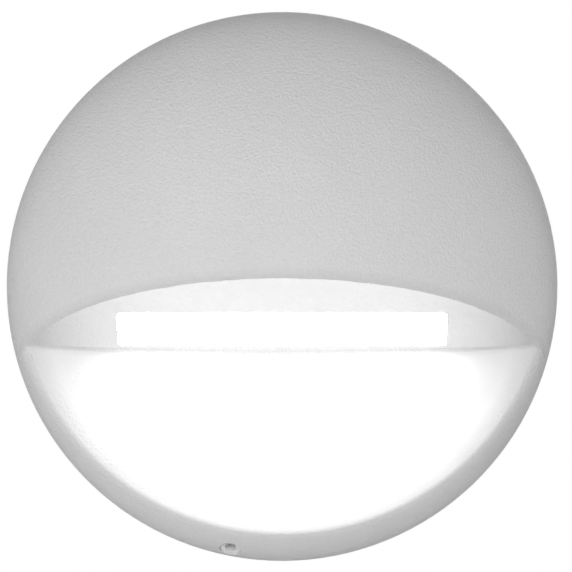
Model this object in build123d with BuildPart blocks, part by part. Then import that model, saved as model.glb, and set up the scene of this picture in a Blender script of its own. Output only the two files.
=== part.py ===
from build123d import *
from math import cos, hypot, radians, sin, sqrt, tan
import os

# Eyelid deck light on an upright deck face, in millimetres.
# The deck face is the plane Y = 0, the light looks along -Y and +Z is up.
# "Reach" is the distance of a point in front of the deck face, so Y = -reach.
os.makedirs("parts", exist_ok=True)

# Front cover: a low dome on a straight rim
cover_radius = 39.0
rim_reach = 4.0
dome_rise = 13.0
rim_wall = 3.2
dome_wall = 2.4
rear_chamfer = 0.35

# Brow and dish, scooped out of the lower half of the dome
brow_angle = 45.0
brow_wall = 2.8
dish_foot = 6.93
dish_curve = 750.0
dish_centre = 50.0
dish_back_gap = 0.35
edge_round = 1.5

# Window in the slope under the brow, its lens and the silicone bead
window_width = 46.1
window_height = 6.0
window_corner = 0.5
window_foot = 1.54
rebate_margin = 1.0
rebate_lip = 1.2
bead_thickness = 0.4
bead_width = 0.9
lens_gap = 0.1
lens_recess = 0.1

# Light engine: chips, board, pad and wedge-shaped spreader, stacked behind the lens
chip_count = 6
chip_width = 2.8
chip_height = 3.5
chip_thickness = 0.7
chip_end_margin = 6.1
chip_to_lens = 1.8
led_board_height = 5.6
led_board_thickness = 1.0
led_board_rise = 1.6
led_screw_inset = 2.1
pad_thickness = 0.4
spreader_crest = 0.6
spreader_height = 2.7
spreader_gap = 0.3
ear_gap = 0.3
ear_wall_gap = 0.5
ear_thickness = 1.4
ear_height = 4.0
ear_round = 0.8

# Driver board and what is soldered to it
boss_radius = 2.0
driver_thickness = 1.2
driver_edge_gap = 1.2
driver_gap = 0.8
driver_screw_rise = 2.6
driver_screw_margin = 2.4
lead_notch_gap = 0.7
terminal_size = (6.4, 4.4, 3.8)
terminal_port_radius = 1.1
terminal_screw_radius = 1.0
terminal_screw_depth = 0.6
rectifier_size = (4.6, 3.8, 1.6)
capacitor_radius = 2.5
capacitor_height = 3.8
capacitor_base = 0.8
inductor_size = (5.0, 5.0, 3.0)
inductor_corner = 1.0
connector_size = (4.6, 4.4, 3.6)
chip_package_size = (4.9, 3.9, 1.5)
resistor_size = (1.6, 0.8, 0.5)
resistor_count = 4
resistor_gap = 0.8
package_bevel = 0.3
row_gap = 0.6
wire_radius = 0.45
wire_spacing = 2.0
wire_top_gap = 0.9
wire_drop = 1.1
wire_rise = 1.8
wire_lap = 0.8
wire_gap = 0.05
wire_knee_bend = 3.0
wire_bend = 1.6

# Rear seat, seal, back cover and its lead inlet
seat_gap = 2.9
seat_width = 3.6
seal_inset = 0.9
seal_width = 1.6
seal_depth = 1.1
back_cover_thickness = 1.2
back_cover_gap = 0.3
lug_radius = 2.4
lug_gap = 1.2
lug_count = 3
inlet_gap = 0.75
lead_radius = 2.3
grommet_wall = 1.1
grommet_flange = 1.0
grommet_flange_thickness = 1.5
grommet_gap = 0.2
grommet_round = 0.4

# Mounting ring on the deck, with a collar that the cover slips over
gasket_thickness = 0.8
gasket_inset = 0.1
plate_thickness = 2.0
collar_wall = 1.8
collar_gap = 0.3
collar_slot_gap = 3.0
deck_edge = 1.25
deck_screw_count = 3
deck_screw_angle = 90.0
deck_hole_radius = 1.9
deck_sink_radius = 3.1

# Small screws of one size, and the set screw under the lip
screw_radius = 1.0
screw_head_radius = 1.7
screw_head_height = 1.1
screw_head_round = 0.45
screw_slot = 0.45
screw_slot_depth = 0.6
screw_fit = 0.05
sink_head_radius = 1.9
sink_angle = 90.0
led_screw_bite = 1.5
boss_screw_bite = 3.4
lug_screw_bite = 2.2
hole_spare = 0.3
set_screw_turn = 11.0
set_screw_tilt = 43.0
set_screw_reach = 6.7
set_screw_radius = 1.45
set_screw_fit = 0.05
set_screw_recess = 0.5
set_screw_tip = 0.5
set_screw_tip_gap = 0.12
set_socket_width = 1.5
set_socket_depth = 1.2

# Places along the reach
apex_reach = rim_reach + dome_rise
plate_front = gasket_thickness + plate_thickness
back_cover_rear = plate_front + back_cover_gap
seat_reach = back_cover_rear + back_cover_thickness
boss_reach = seat_reach + grommet_flange_thickness + grommet_gap + driver_thickness
dish_wall = dish_foot - seat_reach - dish_back_gap

# Radii from the rim inwards
rim_inner = cover_radius - rim_wall
collar_outer = rim_inner - collar_gap
collar_inner = collar_outer - collar_wall
seat_outer = collar_inner - seat_gap
chamber_radius = seat_outer - seat_width
groove_inner = chamber_radius + seal_inset
lug_circle = rim_inner - lug_gap - lug_radius
lug_angle = 270 - set_screw_turn + 180 / lug_count
deck_circle = collar_inner - deck_edge - deck_sink_radius
ring_opening = deck_circle - deck_sink_radius - deck_edge
dish_back = dish_foot - dish_wall + collar_inner**2 / (2 * dish_curve)
collar_top = dish_back - collar_gap
dome_inner_rise = dome_rise - dome_wall

# The slope under the brow, the dish that starts at its foot and the place of a point behind it
slope_sin = sin(radians(brow_angle))
slope_cos = cos(radians(brow_angle))
foot_level = (dish_foot - apex_reach) * slope_sin / slope_cos
dish_ball = dish_foot + sqrt(dish_curve**2 - (foot_level - dish_centre) ** 2)
window_drop = (apex_reach - dish_foot) / slope_cos - window_foot - window_height / 2
window_reach = apex_reach - window_drop * slope_cos
window_level = -window_drop * slope_sin


def behind_window(depth, rise):
    """Reach and height of a point this deep behind the window's centre and this far up the slope."""
    reach = window_reach - depth * slope_sin + rise * slope_cos
    return reach, window_level + depth * slope_cos + rise * slope_sin


def facing(reach):
    """A plane parallel to the deck face that looks forwards."""
    return Plane.XZ.offset(reach)


turning_plane = Plane(origin=(0, 0, 0), x_dir=(1, 0, 0), z_dir=(0, 0, -1))
side_plane = Plane(origin=(0, 0, 0), x_dir=(0, -1, 0), z_dir=(-1, 0, 0))
slope_plane = Plane(
    origin=(0, -window_reach, window_level),
    x_dir=(-1, 0, 0),
    z_dir=(0, slope_sin, slope_cos),
)
back_plane = Plane(origin=(0, -back_cover_rear, 0), x_dir=(1, 0, 0), z_dir=(0, 1, 0))

# Rebate around the window for the lens
rebate_width = window_width + 2 * rebate_margin
rebate_height = window_height + 2 * rebate_margin
rebate_corner = window_corner + rebate_margin

# Depths of the light engine behind the slope
chip_front = brow_wall + chip_to_lens
led_board_front = chip_front + chip_thickness
pad_front = led_board_front + led_board_thickness
spreader_front = pad_front + pad_thickness

# Spreader section: a slanted face for the board, a flat back beside the back cover
spreader_back = seat_reach + spreader_gap
spreader_foot_rise = (spreader_back - window_reach + spreader_front * slope_sin) / slope_cos
spreader_foot = (spreader_back, behind_window(spreader_front, spreader_foot_rise)[1])
spreader_nose = behind_window(spreader_front, led_board_rise + led_board_height / 2 + spreader_crest)
spreader_top = spreader_nose[1] + spreader_height

# Lengths across the chamber: the spreader's ears reach its wall, and the board fits between them
ear_level = spreader_top - ear_height / 2
ear_end = sqrt((chamber_radius - ear_wall_gap) ** 2 - spreader_top**2)
ear_length = ear_gap + 2 * boss_radius
ear_screw_x = ear_end - boss_radius
led_board_length = 2 * (ear_end - ear_length)
led_screw_x = led_board_length / 2 - led_screw_inset
chip_pitch = (led_board_length - 2 * chip_end_margin - chip_width) / (chip_count - 1)

# Lead inlet above the spreader, and the driver board around it
grommet_neck = lead_radius + grommet_wall
grommet_edge = grommet_neck + grommet_flange
inlet_height = spreader_top + inlet_gap + grommet_edge
notch_radius = lead_radius + lead_notch_gap
driver_radius = chamber_radius - driver_edge_gap
driver_chord = spreader_top + driver_gap
driver_screw_level = driver_chord + driver_screw_rise
driver_screw_x = sqrt((driver_radius - driver_screw_margin) ** 2 - driver_screw_level**2)

# Rows of parts on the driver board: one on each side of the lead, one beside the terminal above it
lower_row = driver_chord + row_gap + inductor_size[1] / 2
upper_row = inlet_height + notch_radius + row_gap + terminal_size[1] / 2
capacitor_x = -notch_radius - row_gap - capacitor_radius
rectifier_x = capacitor_x - capacitor_radius - row_gap - rectifier_size[0] / 2
inductor_x = notch_radius + row_gap + inductor_size[0] / 2
connector_x = inductor_x + (inductor_size[0] + connector_size[0]) / 2 + row_gap
chip_package_x = -(terminal_size[0] + chip_package_size[0]) / 2 - row_gap
resistor_pitch = resistor_size[0] + resistor_gap
resistor_x = (terminal_size[0] + resistor_size[0] + (resistor_count - 1) * resistor_pitch) / 2 + row_gap

# Set screw axis, which leaves the lip downwards and forwards
set_drop = sqrt(1 - ((set_screw_reach - rim_reach) / dome_rise) ** 2)
set_wall_radius = cover_radius * set_drop
radial_x = -sin(radians(set_screw_turn))
radial_z = -cos(radians(set_screw_turn))
tilt_sin = sin(radians(set_screw_tilt))
tilt_cos = cos(radians(set_screw_tilt))
set_plane = Plane(
    origin=(radial_x * set_wall_radius, -set_screw_reach, radial_z * set_wall_radius),
    x_dir=(-radial_z, 0, radial_x),
    z_dir=(radial_x * tilt_cos, -tilt_sin, radial_z * tilt_cos),
)
set_tip_radius = collar_outer + set_screw_tip_gap + set_screw_tip * tilt_sin
set_tip_depth = (set_wall_radius - set_tip_radius) / tilt_cos
set_hole_radius = set_screw_radius + set_screw_fit
sink_head_depth = (sink_head_radius - screw_radius) / tan(radians(sink_angle / 2))

driver_screw_spots = [(-driver_screw_x, driver_screw_level), (driver_screw_x, driver_screw_level)]
ear_screw_spots = [(-ear_screw_x, ear_level), (ear_screw_x, ear_level)]
boss_spots = driver_screw_spots + ear_screw_spots
led_screw_spots = [(-led_screw_x, led_board_rise), (led_screw_x, led_board_rise)]


def scoop_form(slope_inset, dish_inset):
    """The space under the brow and in front of the dish, grown into the casting by two insets."""
    bound = 2 * cover_radius
    edge_reach = apex_reach - slope_inset * slope_sin
    edge_level = slope_inset * slope_cos
    run = bound * slope_cos
    rise = bound * slope_sin
    with BuildPart() as form:
        with BuildSketch(side_plane):
            with BuildLine():
                Polyline(
                    (edge_reach + run, edge_level + rise),
                    (edge_reach - run, edge_level - rise),
                    (edge_reach - run, -2 * bound),
                    (edge_reach + run, -2 * bound),
                    close=True,
                )
            make_face()
        extrude(amount=bound, both=True)
        with Locations((0, dish_inset - dish_ball, dish_centre)):
            Sphere(dish_curve, mode=Mode.INTERSECT)
    return form.part


def pan_screws(seat, spots, length):
    """Cross-head screws whose heads sit on the rear of a plane and whose shanks follow its normal."""
    with BuildPart() as group:
        with BuildSketch(seat):
            with Locations(*spots):
                Circle(screw_head_radius)
        extrude(amount=-screw_head_height)
        fillet(group.edges().group_by(Axis(seat.origin, seat.z_dir))[0], screw_head_round)
        with BuildSketch(seat):
            with Locations(*spots):
                Circle(screw_radius)
        extrude(amount=length)
        with BuildSketch(seat.offset(-screw_head_height)):
            with Locations(*spots):
                Rectangle(2 * screw_radius, screw_slot)
                Rectangle(screw_slot, 2 * screw_radius)
        extrude(amount=screw_slot_depth, mode=Mode.SUBTRACT)
    return group.part


def save(part, name):
    """Label a finished piece and write it under that name."""
    part.label = name
    export_step(part, f"parts/{name}.step")


# Outside of the cover: dome, brow, dish and rounded lip
with BuildPart() as cover_form:
    with BuildSketch(turning_plane):
        with BuildLine():
            Polyline(
                (0, apex_reach),
                (0, gasket_thickness),
                (cover_radius, gasket_thickness),
                (cover_radius, rim_reach),
            )
            EllipticalCenterArc((0, rim_reach), cover_radius, dome_rise, start_angle=0, arc_size=90)
        make_face()
    revolve(axis=Axis.Y)
    add(scoop_form(0, 0), mode=Mode.SUBTRACT)
    slope_edges = cover_form.faces().filter_by(slope_plane).edges()
    lip_edge = cover_form.edges().filter_by(GeomType.BSPLINE).sort_by(Axis.Z)[0]
    fillet(slope_edges + [lip_edge], edge_round)
    chamfer(cover_form.edges().group_by(Axis.Y)[-1], rear_chamfer)

# Hollow behind the dome and the dish
with BuildPart() as hollow:
    with BuildSketch(turning_plane):
        with BuildLine():
            Line((0, rim_reach + dome_inner_rise), (0, rim_reach))
            Line((0, rim_reach), (rim_inner, rim_reach))
            EllipticalCenterArc((0, rim_reach), rim_inner, dome_inner_rise, start_angle=0, arc_size=90)
        make_face()
    revolve(axis=Axis.Y)
    with BuildSketch(facing(gasket_thickness)):
        Circle(rim_inner)
    extrude(amount=collar_top + collar_gap - gasket_thickness)
    add(scoop_form(brow_wall, dish_wall), mode=Mode.SUBTRACT)

# Walls and bosses inside the cover: the seal seat, the lugs and the screw bosses
with BuildPart() as cover_ribs:
    with BuildSketch(facing(seat_reach)):
        Circle(seat_outer)
        Circle(chamber_radius, mode=Mode.SUBTRACT)
        with PolarLocations(lug_circle, lug_count, lug_angle):
            Circle(lug_radius)
    extrude(amount=apex_reach)
    with BuildSketch(facing(boss_reach)):
        with Locations(*boss_spots):
            Circle(boss_radius)
    extrude(amount=apex_reach)
    add(cover_form.part, mode=Mode.INTERSECT)

with BuildPart() as front_cover:
    add(cover_form.part)
    add(hollow.part, mode=Mode.SUBTRACT)
    add(cover_ribs.part)
    with BuildSketch(slope_plane.offset(-brow_wall)):
        RectangleRounded(window_width, window_height, window_corner)
    extrude(amount=2 * brow_wall, mode=Mode.SUBTRACT)
    with BuildSketch(slope_plane.offset(rebate_lip)):
        RectangleRounded(rebate_width, rebate_height, rebate_corner)
    extrude(amount=brow_wall, mode=Mode.SUBTRACT)
    with BuildSketch(facing(seat_reach)):
        Circle(groove_inner + seal_width)
        Circle(groove_inner, mode=Mode.SUBTRACT)
    extrude(amount=seal_depth, mode=Mode.SUBTRACT)
    with BuildSketch(facing(seat_reach)):
        with PolarLocations(lug_circle, lug_count, lug_angle):
            Circle(screw_radius + screw_fit)
    extrude(amount=lug_screw_bite + hole_spare, mode=Mode.SUBTRACT)
    with BuildSketch(facing(boss_reach)):
        with Locations(*boss_spots):
            Circle(screw_radius + screw_fit)
    extrude(amount=boss_screw_bite + hole_spare, mode=Mode.SUBTRACT)
    with BuildSketch(set_plane.offset(rim_wall)):
        Circle(set_hole_radius)
    extrude(amount=-(rim_wall + set_tip_depth), mode=Mode.SUBTRACT)
save(front_cover.part, "front_cover")


# Lens: a frosted slab whose raised middle fills the window
with BuildPart() as lens:
    with BuildSketch(slope_plane.offset(lens_recess)):
        RectangleRounded(window_width - 2 * lens_gap, window_height - 2 * lens_gap, window_corner)
    extrude(amount=brow_wall - lens_recess)
    with BuildSketch(slope_plane.offset(rebate_lip + bead_thickness)):
        RectangleRounded(rebate_width - 2 * lens_gap, rebate_height - 2 * lens_gap, rebate_corner)
    extrude(amount=brow_wall - rebate_lip - bead_thickness)
save(lens.part, "lens")

# Silicone bead that beds the lens in the window's rebate
with BuildPart() as lens_bead:
    with BuildSketch(slope_plane.offset(rebate_lip)):
        RectangleRounded(rebate_width, rebate_height, rebate_corner)
        RectangleRounded(
            rebate_width - 2 * bead_width,
            rebate_height - 2 * bead_width,
            rebate_corner - bead_width,
            mode=Mode.SUBTRACT,
        )
    extrude(amount=bead_thickness)
save(lens_bead.part, "lens_bead")

# Light engine, from the chips back to the spreader
with BuildPart() as led_chips:
    with BuildSketch(slope_plane.offset(chip_front)):
        with Locations((0, led_board_rise)):
            with GridLocations(chip_pitch, chip_pitch, chip_count, 1):
                Rectangle(chip_width, chip_height)
    extrude(amount=chip_thickness)
save(led_chips.part, "led_chips")


def board_outline():
    """The strip shared by the board and its pad, with a hole for each screw."""
    with BuildSketch() as outline:
        with Locations((0, led_board_rise)):
            Rectangle(led_board_length, led_board_height)
        with Locations(*led_screw_spots):
            Circle(screw_radius + screw_fit, mode=Mode.SUBTRACT)
    return outline.sketch


with BuildPart() as led_board:
    with BuildSketch(slope_plane.offset(led_board_front)):
        add(board_outline())
    extrude(amount=led_board_thickness)
save(led_board.part, "led_board")

with BuildPart() as thermal_pad:
    with BuildSketch(slope_plane.offset(pad_front)):
        add(board_outline())
    extrude(amount=pad_thickness)
save(thermal_pad.part, "thermal_pad")

with BuildPart() as heat_spreader:
    with BuildSketch(side_plane):
        with BuildLine():
            Polyline(
                spreader_foot,
                spreader_nose,
                (spreader_nose[0], spreader_top),
                (spreader_back, spreader_top),
                close=True,
            )
        make_face()
    extrude(amount=led_board_length / 2, both=True)
    with BuildSketch(facing(boss_reach - ear_thickness)):
        with Locations((0, ear_level)):
            Rectangle(led_board_length + 2 * ear_length, ear_height)
    extrude(amount=ear_thickness)
    fillet(heat_spreader.edges().filter_by(Axis.Y).group_by(Axis.X)[0], ear_round)
    fillet(heat_spreader.edges().filter_by(Axis.Y).group_by(Axis.X)[-1], ear_round)
    with BuildSketch(facing(boss_reach - ear_thickness)):
        with Locations(*ear_screw_spots):
            Circle(screw_radius + screw_fit)
    extrude(amount=ear_thickness, mode=Mode.SUBTRACT)
    with BuildSketch(slope_plane.offset(spreader_front)):
        with Locations(*led_screw_spots):
            Circle(screw_radius + screw_fit)
    extrude(amount=led_screw_bite + hole_spare, mode=Mode.SUBTRACT)
save(heat_spreader.part, "heat_spreader")

led_screw_length = led_board_thickness + pad_thickness + led_screw_bite
led_board_screws = pan_screws(slope_plane.offset(led_board_front), led_screw_spots, led_screw_length)
save(led_board_screws, "led_board_screws")

spreader_seat = facing(boss_reach - ear_thickness)
spreader_screws = pan_screws(spreader_seat, ear_screw_spots, ear_thickness + boss_screw_bite)
save(spreader_screws, "spreader_screws")

# Driver board, a segment of a disc with a notch for the lead
driver_seat = facing(boss_reach - driver_thickness)
with BuildPart() as driver_board:
    with BuildSketch(driver_seat):
        Circle(driver_radius)
        with Locations((0, driver_chord - 2 * driver_radius)):
            Rectangle(4 * driver_radius, 4 * driver_radius, mode=Mode.SUBTRACT)
        with Locations((0, inlet_height)):
            Circle(notch_radius, mode=Mode.SUBTRACT)
        with Locations((0, inlet_height / 2)):
            Rectangle(2 * notch_radius, inlet_height, mode=Mode.SUBTRACT)
        with Locations(*driver_screw_spots):
            Circle(screw_radius + screw_fit, mode=Mode.SUBTRACT)
    extrude(amount=driver_thickness)
save(driver_board.part, "driver_board")

driver_screws = pan_screws(driver_seat, driver_screw_spots, driver_thickness + boss_screw_bite)
save(driver_screws, "driver_screws")

with BuildPart() as supply_terminal:
    with BuildSketch(facing(boss_reach)):
        with Locations((0, upper_row)):
            Rectangle(terminal_size[0], terminal_size[1])
    extrude(amount=terminal_size[2])
    with BuildSketch(facing(boss_reach + terminal_size[2])):
        with Locations((0, upper_row)):
            with GridLocations(terminal_size[0] / 2, terminal_size[1], 2, 1):
                Circle(terminal_screw_radius)
    extrude(amount=-terminal_screw_depth, mode=Mode.SUBTRACT)
    with BuildSketch(Plane.XY.offset(upper_row - terminal_size[1] / 2)):
        with Locations((0, -boss_reach - terminal_size[2] / 2)):
            with GridLocations(terminal_size[0] / 2, terminal_size[2], 2, 1):
                Circle(terminal_port_radius)
    extrude(amount=terminal_size[1] / 2, mode=Mode.SUBTRACT)
save(supply_terminal.part, "supply_terminal")

with BuildPart() as rectifier:
    with BuildSketch(facing(boss_reach)):
        with Locations((rectifier_x, lower_row)):
            Rectangle(rectifier_size[0], rectifier_size[1])
    extrude(amount=rectifier_size[2])
    chamfer(rectifier.edges().group_by(Axis.Y)[0], package_bevel)
save(rectifier.part, "rectifier")

with BuildPart() as filter_capacitor:
    with BuildSketch(facing(boss_reach)):
        with Locations((capacitor_x, lower_row)):
            Rectangle(2 * capacitor_radius, 2 * capacitor_radius)
    extrude(amount=capacitor_base)
    with BuildSketch(facing(boss_reach)):
        with Locations((capacitor_x, lower_row)):
            Circle(capacitor_radius)
    extrude(amount=capacitor_height)
    fillet(filter_capacitor.edges().group_by(Axis.Y)[0], package_bevel)
save(filter_capacitor.part, "filter_capacitor")

with BuildPart() as inductor:
    with BuildSketch(facing(boss_reach)):
        with Locations((inductor_x, lower_row)):
            RectangleRounded(inductor_size[0], inductor_size[1], inductor_corner)
    extrude(amount=inductor_size[2])
    chamfer(inductor.edges().group_by(Axis.Y)[0], package_bevel)
save(inductor.part, "inductor")

with BuildPart() as driver_chip:
    with BuildSketch(facing(boss_reach)):
        with Locations((chip_package_x, upper_row)):
            Rectangle(chip_package_size[0], chip_package_size[1])
    extrude(amount=chip_package_size[2])
    chamfer(driver_chip.edges().group_by(Axis.Y)[0], package_bevel)
save(driver_chip.part, "driver_chip")

with BuildPart() as chip_resistors:
    with BuildSketch(facing(boss_reach)):
        with Locations((resistor_x, upper_row)):
            with GridLocations(resistor_pitch, resistor_pitch, resistor_count, 1):
                Rectangle(resistor_size[0], resistor_size[1])
    extrude(amount=resistor_size[2])
save(chip_resistors.part, "chip_resistors")

with BuildPart() as led_connector:
    with BuildSketch(facing(boss_reach)):
        with Locations((connector_x, lower_row)):
            Rectangle(connector_size[0], connector_size[1])
    extrude(amount=connector_size[2])
    chamfer(led_connector.edges().group_by(Axis.Y)[0], package_bevel)
save(led_connector.part, "led_connector")

# Two wires from the driver's connector over the spreader to the top edge of the LED board
board_top = led_board_rise + led_board_height / 2
wire_depth = led_board_front - wire_radius - wire_gap
wire_start = (boss_reach + connector_size[2] - wire_top_gap, lower_row - connector_size[1] / 2)
wire_knee = (wire_start[0], wire_start[1] - wire_drop)
wire_corner = behind_window(wire_depth, board_top + wire_rise)
wire_end = behind_window(wire_depth, board_top - wire_lap)
for name, side in (("wire_red", -1), ("wire_black", 1)):
    wire_x = connector_x + side * wire_spacing / 2
    stops = [(wire_x, -reach, level) for reach, level in (wire_start, wire_knee, wire_corner, wire_end)]
    with BuildPart() as led_wire:
        with BuildLine() as route:
            FilletPolyline(*stops, radius=[wire_knee_bend, wire_bend])
        with BuildSketch(Plane(origin=route.line @ 0, z_dir=route.line % 0)):
            Circle(wire_radius)
        sweep()
    save(led_wire.part, name)

# Back cover on its seal, held by countersunk screws in the lugs
with BuildPart() as back_seal:
    with BuildSketch(facing(seat_reach)):
        Circle(groove_inner + seal_width)
        Circle(groove_inner, mode=Mode.SUBTRACT)
    extrude(amount=seal_depth)
save(back_seal.part, "back_seal")

with BuildPart() as back_cover:
    with BuildSketch(facing(back_cover_rear)):
        Circle(seat_outer)
        with PolarLocations(lug_circle, lug_count, lug_angle):
            Circle(lug_radius)
        with Locations((0, inlet_height)):
            Circle(grommet_neck, mode=Mode.SUBTRACT)
    extrude(amount=back_cover_thickness)
    with Locations(back_plane):
        with PolarLocations(lug_circle, lug_count, -lug_angle):
            CounterSinkHole(
                screw_radius + screw_fit, sink_head_radius + screw_fit, counter_sink_angle=sink_angle
            )
save(back_cover.part, "back_cover")

with BuildPart() as back_cover_screws:
    with BuildSketch(facing(back_cover_rear)):
        with PolarLocations(lug_circle, lug_count, lug_angle):
            Circle(sink_head_radius)
    extrude(amount=sink_head_depth, taper=sink_angle / 2)
    with BuildSketch(facing(back_cover_rear)):
        with PolarLocations(lug_circle, lug_count, lug_angle):
            Circle(screw_radius)
    extrude(amount=back_cover_thickness + lug_screw_bite)
    with BuildSketch(facing(back_cover_rear)):
        with PolarLocations(lug_circle, lug_count, lug_angle):
            Rectangle(2 * screw_radius, screw_slot)
            Rectangle(screw_slot, 2 * screw_radius)
    extrude(amount=screw_slot_depth, mode=Mode.SUBTRACT)
save(back_cover_screws.part, "back_cover_screws")

with BuildPart() as lead_grommet:
    with BuildSketch(facing(back_cover_rear - grommet_flange_thickness)):
        with Locations((0, inlet_height)):
            Circle(grommet_edge)
    extrude(amount=grommet_flange_thickness)
    with BuildSketch(facing(back_cover_rear)):
        with Locations((0, inlet_height)):
            Circle(grommet_neck)
    extrude(amount=back_cover_thickness)
    with BuildSketch(facing(seat_reach)):
        with Locations((0, inlet_height)):
            Circle(grommet_edge)
    extrude(amount=grommet_flange_thickness)
    fillet(lead_grommet.edges().group_by(Axis.Y)[0], grommet_round)
    fillet(lead_grommet.edges().group_by(Axis.Y)[-1], grommet_round)
    with BuildSketch(facing(back_cover_rear - grommet_flange_thickness)):
        with Locations((0, inlet_height)):
            Circle(lead_radius)
    extrude(amount=back_cover_thickness + 2 * grommet_flange_thickness, mode=Mode.SUBTRACT)
save(lead_grommet.part, "lead_grommet")

# Mounting ring with its slotted collar, and the foam gasket under it and the cover's rim
with BuildPart() as mounting_ring:
    with BuildSketch(facing(gasket_thickness)):
        Circle(collar_outer)
        Circle(ring_opening, mode=Mode.SUBTRACT)
    extrude(amount=plate_thickness)
    with BuildSketch(facing(plate_front)):
        Circle(collar_outer)
        Circle(collar_inner, mode=Mode.SUBTRACT)
        with PolarLocations(collar_inner, lug_count, lug_angle):
            Rectangle(4 * collar_wall, 2 * (lug_radius + collar_slot_gap), mode=Mode.SUBTRACT)
    extrude(amount=collar_top - plate_front)
    with Locations(facing(plate_front)):
        with PolarLocations(deck_circle, deck_screw_count, deck_screw_angle):
            CounterSinkHole(deck_hole_radius, deck_sink_radius, counter_sink_angle=sink_angle)
save(mounting_ring.part, "mounting_ring")

with BuildPart() as wall_gasket:
    with BuildSketch(facing(0)):
        Circle(cover_radius - gasket_inset)
        Circle(ring_opening, mode=Mode.SUBTRACT)
        with PolarLocations(deck_circle, deck_screw_count, deck_screw_angle):
            Circle(deck_hole_radius, mode=Mode.SUBTRACT)
    extrude(amount=gasket_thickness)
save(wall_gasket.part, "wall_gasket")

# Set screw under the lip, with a cone point towards the collar and a hexagon socket outside
with BuildPart() as set_screw:
    with BuildSketch(set_plane.offset(-set_screw_recess)):
        Circle(set_screw_radius)
    extrude(amount=set_screw_recess - set_tip_depth)
    tip_edge = set_screw.edges().group_by(Axis(set_plane.origin, set_plane.z_dir))[0]
    chamfer(tip_edge, set_screw_radius - set_screw_tip)
    with BuildSketch(set_plane.offset(-set_screw_recess)):
        RegularPolygon(set_socket_width / 2, 6, major_radius=False)
    extrude(amount=-set_socket_depth, mode=Mode.SUBTRACT)
save(set_screw.part, "set_screw")
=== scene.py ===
from functools import reduce
from math import cos, radians, sin, tau

import bmesh
import bpy
from bpy.props import FloatProperty, FloatVectorProperty, IntProperty, PointerProperty
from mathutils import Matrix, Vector


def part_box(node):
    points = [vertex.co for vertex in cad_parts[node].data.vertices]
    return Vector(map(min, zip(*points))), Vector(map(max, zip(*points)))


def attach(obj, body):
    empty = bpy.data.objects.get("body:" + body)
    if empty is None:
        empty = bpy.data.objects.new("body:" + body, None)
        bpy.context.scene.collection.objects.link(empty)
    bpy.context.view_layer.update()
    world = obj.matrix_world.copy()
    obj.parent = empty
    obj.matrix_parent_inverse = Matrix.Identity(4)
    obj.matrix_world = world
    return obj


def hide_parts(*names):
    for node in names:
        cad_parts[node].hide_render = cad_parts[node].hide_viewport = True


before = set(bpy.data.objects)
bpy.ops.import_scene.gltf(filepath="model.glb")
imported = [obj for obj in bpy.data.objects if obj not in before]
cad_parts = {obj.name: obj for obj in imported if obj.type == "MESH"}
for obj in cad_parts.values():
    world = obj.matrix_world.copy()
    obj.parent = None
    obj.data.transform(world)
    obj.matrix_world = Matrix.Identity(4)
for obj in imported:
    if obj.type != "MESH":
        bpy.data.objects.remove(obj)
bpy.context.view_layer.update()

bl_info = {
    "name": "Eyelid deck light",
    "version": (1, 0, 0),
    "blender": (4, 5, 0),
    "location": "3D View > Sidebar > Deck light",
    "description": "Finishes, fittings and stage of a round deck light with a brow over a lit lens",
    "category": "Object",
}

MM = 0.001

# The slope under the brow leans 45 degrees, and its outward normal looks down and forwards
SLOPE = radians(45)
SLOPE_OUT = Vector((0, -sin(SLOPE), -cos(SLOPE)))
FRONT = Vector((0, -1, 0))
REAR = Vector((0, 1, 0))
SIDE = Vector((1, 0, 0))

# The dish is a patch of a large ball in front of the light
BALL = Vector((0, -754.52, 50)) * MM
BALL_RADIUS = 750 * MM

# How far a point may lie off a face and still count as on it, and how near two corners are one
NEAR = 0.02 * MM
SAME = 0.001 * MM

# The range that a noise mostly covers
NOISE_LOW = 0.3
NOISE_HIGH = 0.7

# Moulded pieces: grains to a patch, and how far the roughness swings
PATCH_GRAINS = 14
MOULDED_GLOSS = 0.06

# Metals: width of a cloud, its shades, and how far the roughness swings
METAL_CLOUD = 6 * MM
METAL_SHADES = (0.93, 1.04)
METAL_GLOSS = 0.08

# Powder coat: width of its flow, its shades, its change of roughness, and its crumbs beside the peel
COAT_FLOW = 9 * MM
COAT_SHADES = (0.985, 1.01)
COAT_GLOSS = (-0.05, 0.08)
CRUMB_SIZE = 0.45
CRUMB_SHARE = 0.35

# Circuit boards: the gap between tracks, their length and their spacing
TRACK_SIZES = {"Mortar Size": 0.12 * MM, "Brick Width": 11 * MM, "Row Height": 0.9 * MM}

# Frosting: its two tints, its range of roughness and its depth
FROST_TINTS = ((0.86, 0.86, 0.85), (0.92, 0.92, 0.91))
FROST_ROUGHNESS = (0.45, 0.6)
FROST_DEPTH = 0.01 * MM

# How late the painted glow drops towards the ends of slope, crease and dish
LATE_DROP = 4.0

# Sides of a turned screw's rings, and rings along its head
RING_SIDES = 28
HEAD_RINGS = 10

# A pan head is a full round, and a countersunk head a plain cone
PAN_CROWN = 3.0
SUNK_CROWN = 1.0

# A recess's second arm is a little deeper, so that the two cuts share no floor
SECOND_ARM = (1, 1, 1.1)

# Heights of the phosphor in a light package and of the coating on a resistor
PHOSPHOR_HEIGHT = 0.12 * MM
COATING_HEIGHT = 0.08 * MM

# The sizes of a screw, as its tree's inputs name them
SCREW_SIZES = (
    "Head Height", "Top Radius", "Seat Radius", "Crown", "Length", "Shank Radius", "Thread Depth",
    "Recess Width", "Recess Span", "Recess Depth",
)

# Each lamp's name, place and width; its power is the stage's setting of that name
LAMPS = (
    ("front", Vector((-0.03, -0.2, 0.0)), 0.05),
    ("key", Vector((-0.9, -0.12, -0.05)), 0.6),
    ("fill", Vector((0.9, -0.12, -0.05)), 0.6),
    ("rear", Vector((0.2, 0.8, 0.4)), 0.6),
)

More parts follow.
